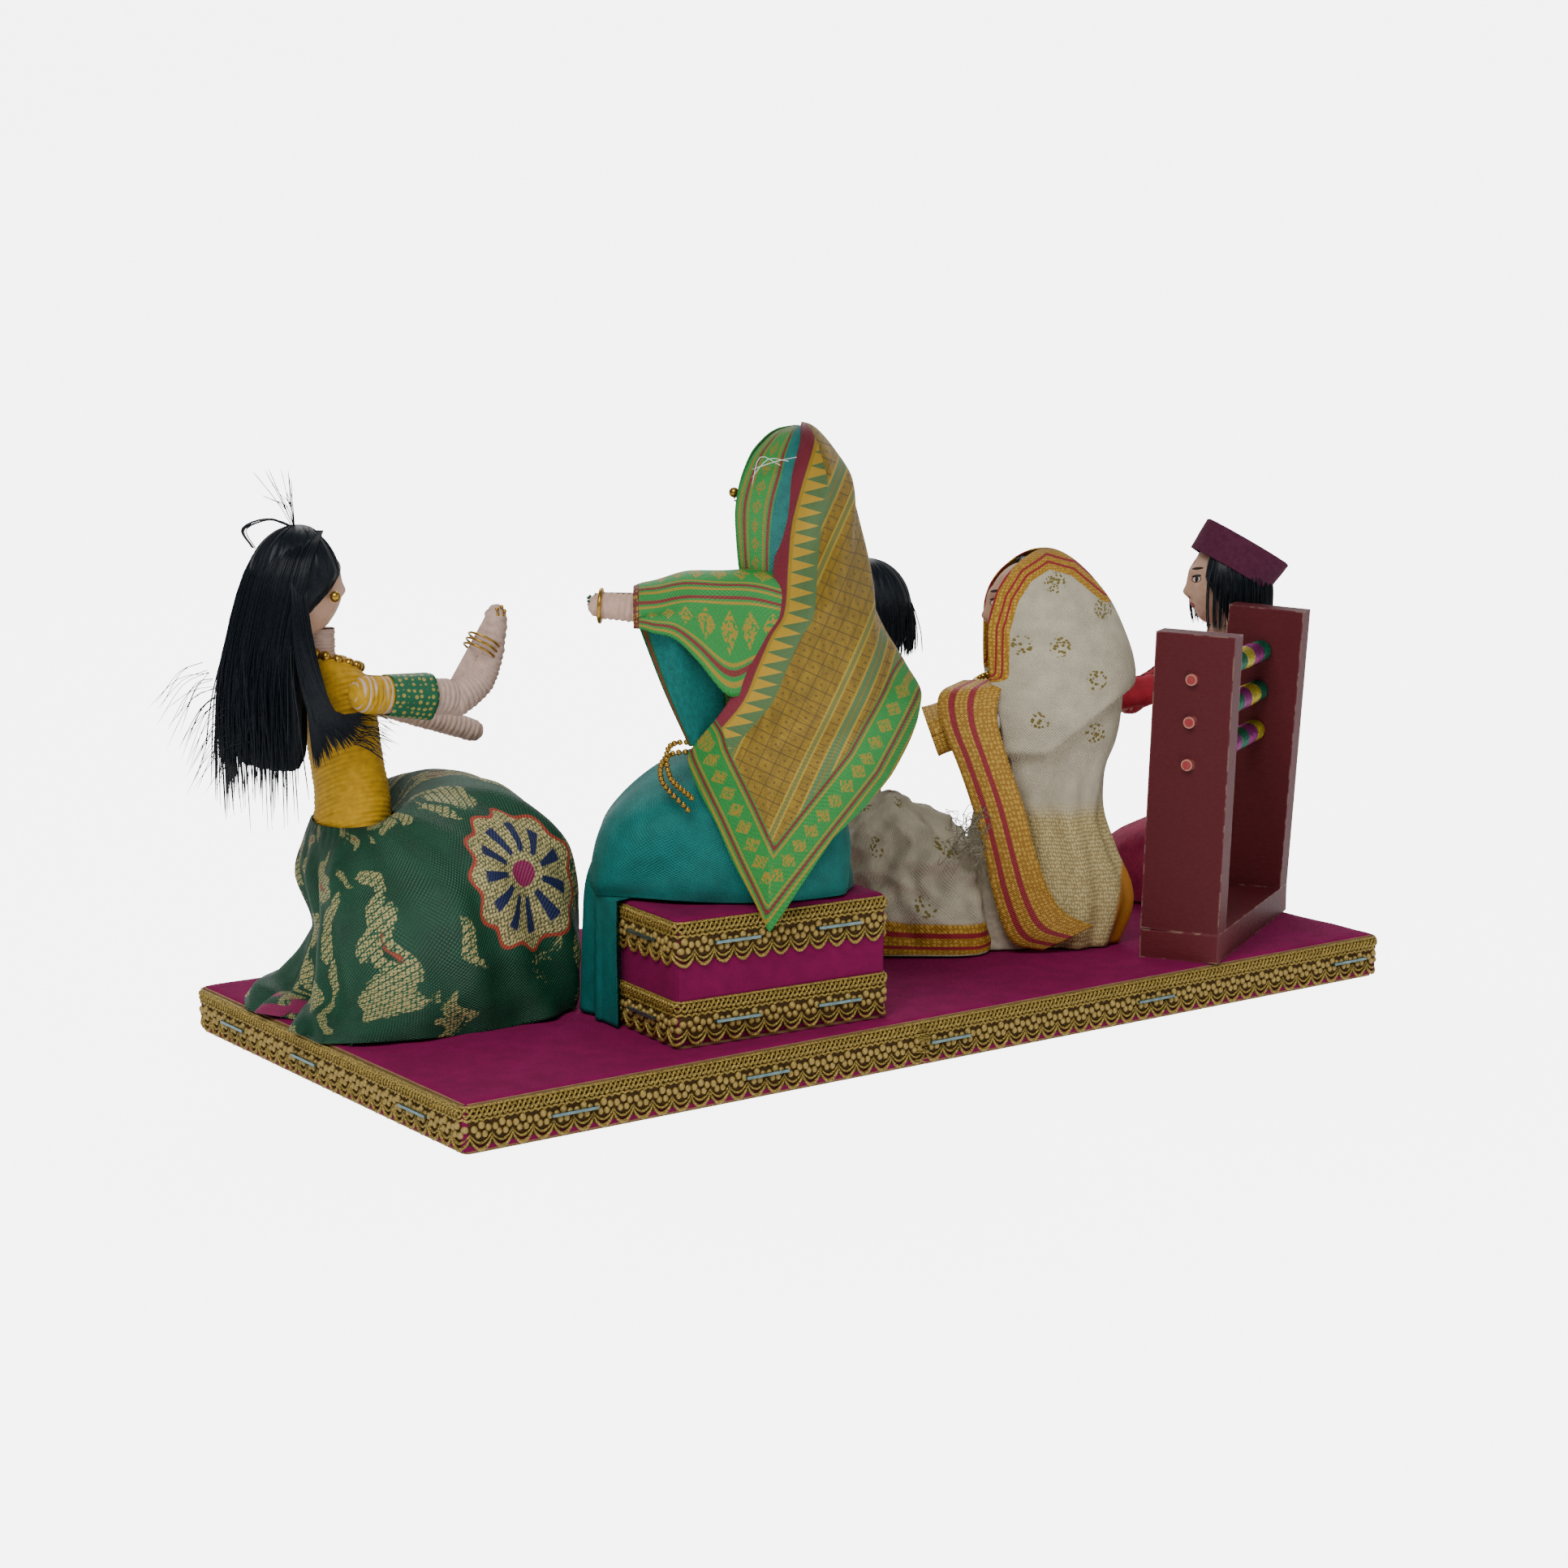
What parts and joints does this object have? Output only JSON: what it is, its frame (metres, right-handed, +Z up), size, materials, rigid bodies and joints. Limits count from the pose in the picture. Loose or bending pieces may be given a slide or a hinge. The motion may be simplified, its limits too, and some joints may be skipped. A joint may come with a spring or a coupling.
{
  "type": "doll tableau",
  "caption": "Display tableau of thread-wound wire dolls at a bangle ceremony, with a velvet stool and a bangle rack, on a flat velvet-covered board edged in gold lace.",
  "frame": {"origin": "centre of the flat underside of the board", "axes": "+X along the board's long edge from the girl to the bangle rack, +Y across it towards the audience side, +Z up out of the board"},
  "size_m": [0.3333, 0.1539, 0.1625],
  "materials": {
    "plywood": "sawn",
    "velvet": "pile",
    "gold_lace": "woven metallic",
    "steel_wire": "drawn",
    "painted_wood": "oxide paint",
    "foil": "foil",
    "yellow_floss": "wound",
    "green_thread": "wound",
    "cream_thread": "wound",
    "red_cloth": "woven",
    "pink_thread": "wound",
    "painted_face": "painted",
    "black_hair": "strands",
    "skin_thread": "wound",
    "green_brocade": "brocade",
    "gilt_metal": "polished",
    "bride_sari": "brocade",
    "teal_silk": "woven",
    "cream_sari": "woven",
    "gold_border": "woven",
    "stuffing": "loose",
    "maroon_felt": "felt",
    "friend_cloth": "woven"
  },
  "bodies": {
    "tableau": {"aunt_head": "painted_face", "aunt_necklace": "gilt_metal", "aunt_sari_border": "gold_border", "aunt_sari_lap": "cream_sari", "aunt_sleeve": "gold_border", "aunt_sleeve_stuffing": "stuffing", "aunt_torso": "cream_thread", "aunt_veil": "cream_sari", "base_board": "plywood", "base_lace": "gold_lace", "base_velvet": "velvet", "bride_arm_right": "skin_thread", "bride_head": "painted_face", "bride_necklace": "gilt_metal", "bride_nose_bead": "gilt_metal", "bride_sari_drape": "bride_sari", "bride_sari_skirt": "teal_silk", "bride_torso": "green_thread", "bride_upper_arm_left": "skin_thread", "bride_waist_chain": "gilt_metal", "friend_arms": "pink_thread", "friend_skirt": "friend_cloth", "friend_torso": "pink_thread", "girl_necklace": "gilt_metal", "girl_skirt": "green_brocade", "girl_torso": "yellow_floss", "neck_wires": "steel_wire", "rack_plate": "painted_wood", "rack_rods": "painted_wood", "rack_upright_far": "painted_wood", "rack_upright_near": "painted_wood", "seller_arm_right": "red_cloth", "seller_kurta": "red_cloth", "seller_lap": "red_cloth", "staples": "steel_wire", "stool_block": "plywood", "stool_lace_lower": "gold_lace", "stool_lace_upper": "gold_lace", "stool_velvet": "velvet"},
    "girl_head": {"girl_head": "painted_face", "girl_hair": "black_hair", "girl_earrings": "gilt_metal"},
    "girl_upper_arm": {"girl_upper_arm_right": "skin_thread", "girl_sleeve_right": "green_brocade"},
    "girl_forearm": {"girl_forearm_right": "skin_thread", "girl_bangles": "gilt_metal"},
    "girl_far_arm": {"girl_arm_left": "skin_thread", "girl_sleeve_left": "green_brocade"},
    "bride_forearm": {"bride_forearm_left": "skin_thread", "bride_finger_beads": "gilt_metal"},
    "seller_head": {"seller_head": "painted_face", "seller_hair": "black_hair", "seller_cap": "maroon_felt"},
    "seller_arm": {"seller_arm_left": "red_cloth"},
    "friend_head": {"friend_head": "painted_face", "friend_hair": "black_hair"},
    "bangles_bottom": {"bangles_bottom": "foil"},
    "bangles_middle": {"bangles_middle": "foil"},
    "bangles_top": {"bangles_top": "foil"}
  },
  "joints": [
    {"name": "girl_head_turn", "type": "hinge", "parent": "tableau", "child": "girl_head", "pos_m": [-0.136, 0.025, 0.1085], "axis": [0, 0, 1], "range_deg": [-12, 12]},
    {"name": "girl_shoulder", "type": "hinge", "parent": "tableau", "child": "girl_upper_arm", "pos_m": [-0.132, 0.0076, 0.097], "axis": [0, -1, 0], "range_deg": [-15, 20]},
    {"name": "girl_elbow", "type": "hinge", "parent": "girl_upper_arm", "child": "girl_forearm", "pos_m": [-0.106, 0.0084, 0.094], "axis": [0, -1, 0], "range_deg": [-25, 12]},
    {"name": "girl_far_shoulder", "type": "hinge", "parent": "tableau", "child": "girl_far_arm", "pos_m": [-0.132, 0.0424, 0.097], "axis": [0, -1, 0], "range_deg": [-8, 35]},
    {"name": "bride_elbow", "type": "hinge", "parent": "tableau", "child": "bride_forearm", "pos_m": [-0.0744, -0.04137, 0.119], "axis": [0, 0, 1], "range_deg": [-10, 10]},
    {"name": "seller_head_turn", "type": "hinge", "parent": "tableau", "child": "seller_head", "pos_m": [0.15193, -0.0025, 0.0965], "axis": [0, 0, 1], "range_deg": [-20, 20]},
    {"name": "seller_shoulder", "type": "hinge", "parent": "tableau", "child": "seller_arm", "pos_m": [0.13772, -0.01312, 0.0805], "axis": [0.5, 0.866, 0], "range_deg": [-3, 15]},
    {"name": "friend_head_turn", "type": "hinge", "parent": "tableau", "child": "friend_head", "pos_m": [0.04546, 0.03628, 0.0915], "axis": [0, 0, 1], "range_deg": [-20, 20]},
    {"name": "bottom_bangles_spin", "type": "hinge", "parent": "tableau", "child": "bangles_bottom", "pos_m": [0.11507, -0.04471, 0.0678], "axis": [0.8686, 0.4955, 0], "continuous": true},
    {"name": "middle_bangles_spin", "type": "hinge", "parent": "tableau", "child": "bangles_middle", "pos_m": [0.11534, -0.04516, 0.0796], "axis": [0.8705, 0.4921, 0], "continuous": true},
    {"name": "top_bangles_spin", "type": "hinge", "parent": "tableau", "child": "bangles_top", "pos_m": [0.11561, -0.04562, 0.0914], "axis": [0.8724, 0.4887, 0], "continuous": true}
  ]
}
